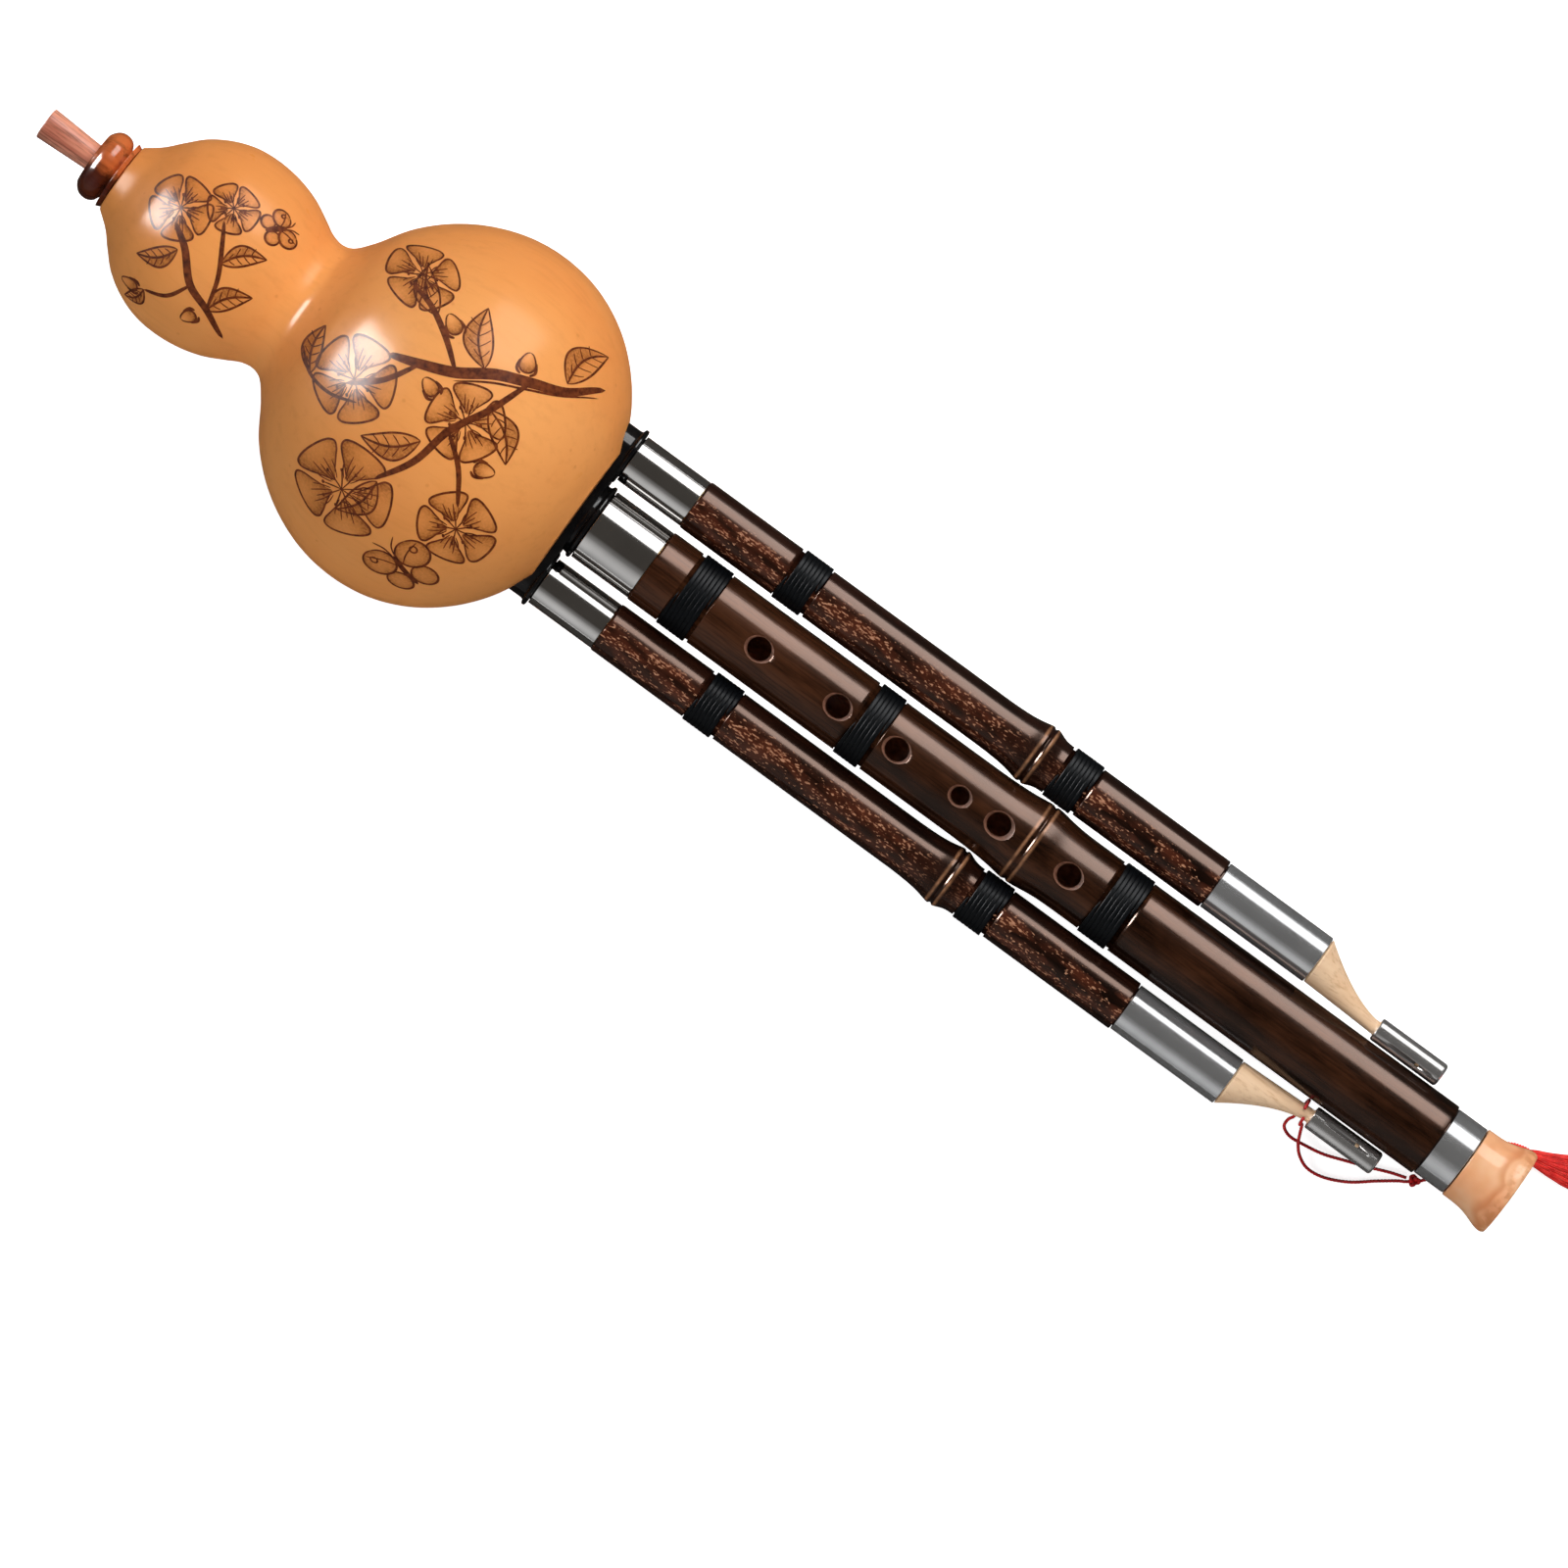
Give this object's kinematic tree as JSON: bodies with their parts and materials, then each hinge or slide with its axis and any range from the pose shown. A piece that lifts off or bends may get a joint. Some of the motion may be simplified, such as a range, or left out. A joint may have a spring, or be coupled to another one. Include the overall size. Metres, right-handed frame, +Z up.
{
  "type": "hulusi",
  "caption": "Gourd free-reed pipe lying on its back: mouthpiece, hollow gourd, a finger pipe with bell, two drone pipes with sliding switches, red cord and tassel.",
  "frame": {"origin": "on the ground under the middle of the instrument's box, measured without its cord and tassel", "axes": "+X runs from the mouthpiece to the bell, +Z up, the finger holes face up; the instrument's own axis leans down 6.48 degrees towards the bell"},
  "size_m": [0.541, 0.0964, 0.0957],
  "materials": {
    "gourd_lacquer": "clear lacquered gourd rind, glossy, with a brown burnt-line pattern",
    "mouthpiece_wood": "pinkish rosewood, satin",
    "collar_rosewood": "turned rosewood, polished",
    "black_horn": "black, glossy",
    "polished_metal": "polished plated tube",
    "satin_metal": "satin metal",
    "brass": "plain brass",
    "main_pipe_wood": "dark brown bamboo, polished, fine lengthwise grain",
    "drone_wood": "near-black mottled bamboo with golden flecks, polished",
    "black_thread": "lacquered thread",
    "bell_stone": "peach, glossy, faintly marbled",
    "stopper_wood": "bare pale wood",
    "red_cord": "twisted red cord",
    "red_tassel": "red silk yarn"
  },
  "bodies": {
    "wind_chest": {"mouthpiece_tube": "mouthpiece_wood", "mouthpiece_collar": "collar_rosewood", "gourd_shell": "gourd_lacquer", "gourd_base": "black_horn", "main_upper_ferrule": "polished_metal", "main_reed_tube": "brass", "main_reed_plate": "brass", "left_upper_ferrule": "polished_metal", "left_reed_tube": "brass", "left_reed_plate": "brass", "right_upper_ferrule": "polished_metal", "right_reed_tube": "brass", "right_reed_plate": "brass", "cord_strand_1": "red_cord", "cord_strand_2": "red_cord", "tassel_lead": "red_cord", "tassel_knot": "red_tassel", "tassel_head": "red_tassel", "tassel_fringe": "red_tassel"},
    "main_pipe_set": {"main_pipe": "main_pipe_wood", "main_tenon_tube": "brass", "tail_ring": "satin_metal", "bell": "bell_stone", "main_binding_1": "black_thread", "main_binding_2": "black_thread", "main_binding_3": "black_thread"},
    "left_drone_set": {"left_drone_pipe": "drone_wood", "left_tenon_tube": "brass", "left_binding_1": "black_thread", "left_binding_2": "black_thread", "left_lower_ferrule": "satin_metal", "left_stopper": "stopper_wood"},
    "right_drone_set": {"right_drone_pipe": "drone_wood", "right_tenon_tube": "brass", "right_binding_1": "black_thread", "right_binding_2": "black_thread", "right_lower_ferrule": "satin_metal", "right_stopper": "stopper_wood"},
    "left_switch": {"left_switch_cap": "satin_metal"},
    "right_switch": {"right_switch_cap": "satin_metal"}
  },
  "joints": [
    {"name": "main_tuning_slide", "type": "slide", "parent": "wind_chest", "child": "main_pipe_set", "axis": [0.9936, 0, -0.1129], "range_m": [0, 0.005]},
    {"name": "left_drone_slide", "type": "slide", "parent": "wind_chest", "child": "left_drone_set", "axis": [0.9936, 0, -0.1129], "range_m": [0, 0.003]},
    {"name": "right_drone_slide", "type": "slide", "parent": "wind_chest", "child": "right_drone_set", "axis": [0.9936, 0, -0.1129], "range_m": [0, 0.003]},
    {"name": "left_switch_slide", "type": "slide", "parent": "left_drone_set", "child": "left_switch", "axis": [0.9936, 0, -0.1129], "range_m": [0, 0.007]},
    {"name": "right_switch_slide", "type": "slide", "parent": "right_drone_set", "child": "right_switch", "axis": [0.9936, 0, -0.1129], "range_m": [0, 0.007]}
  ]
}
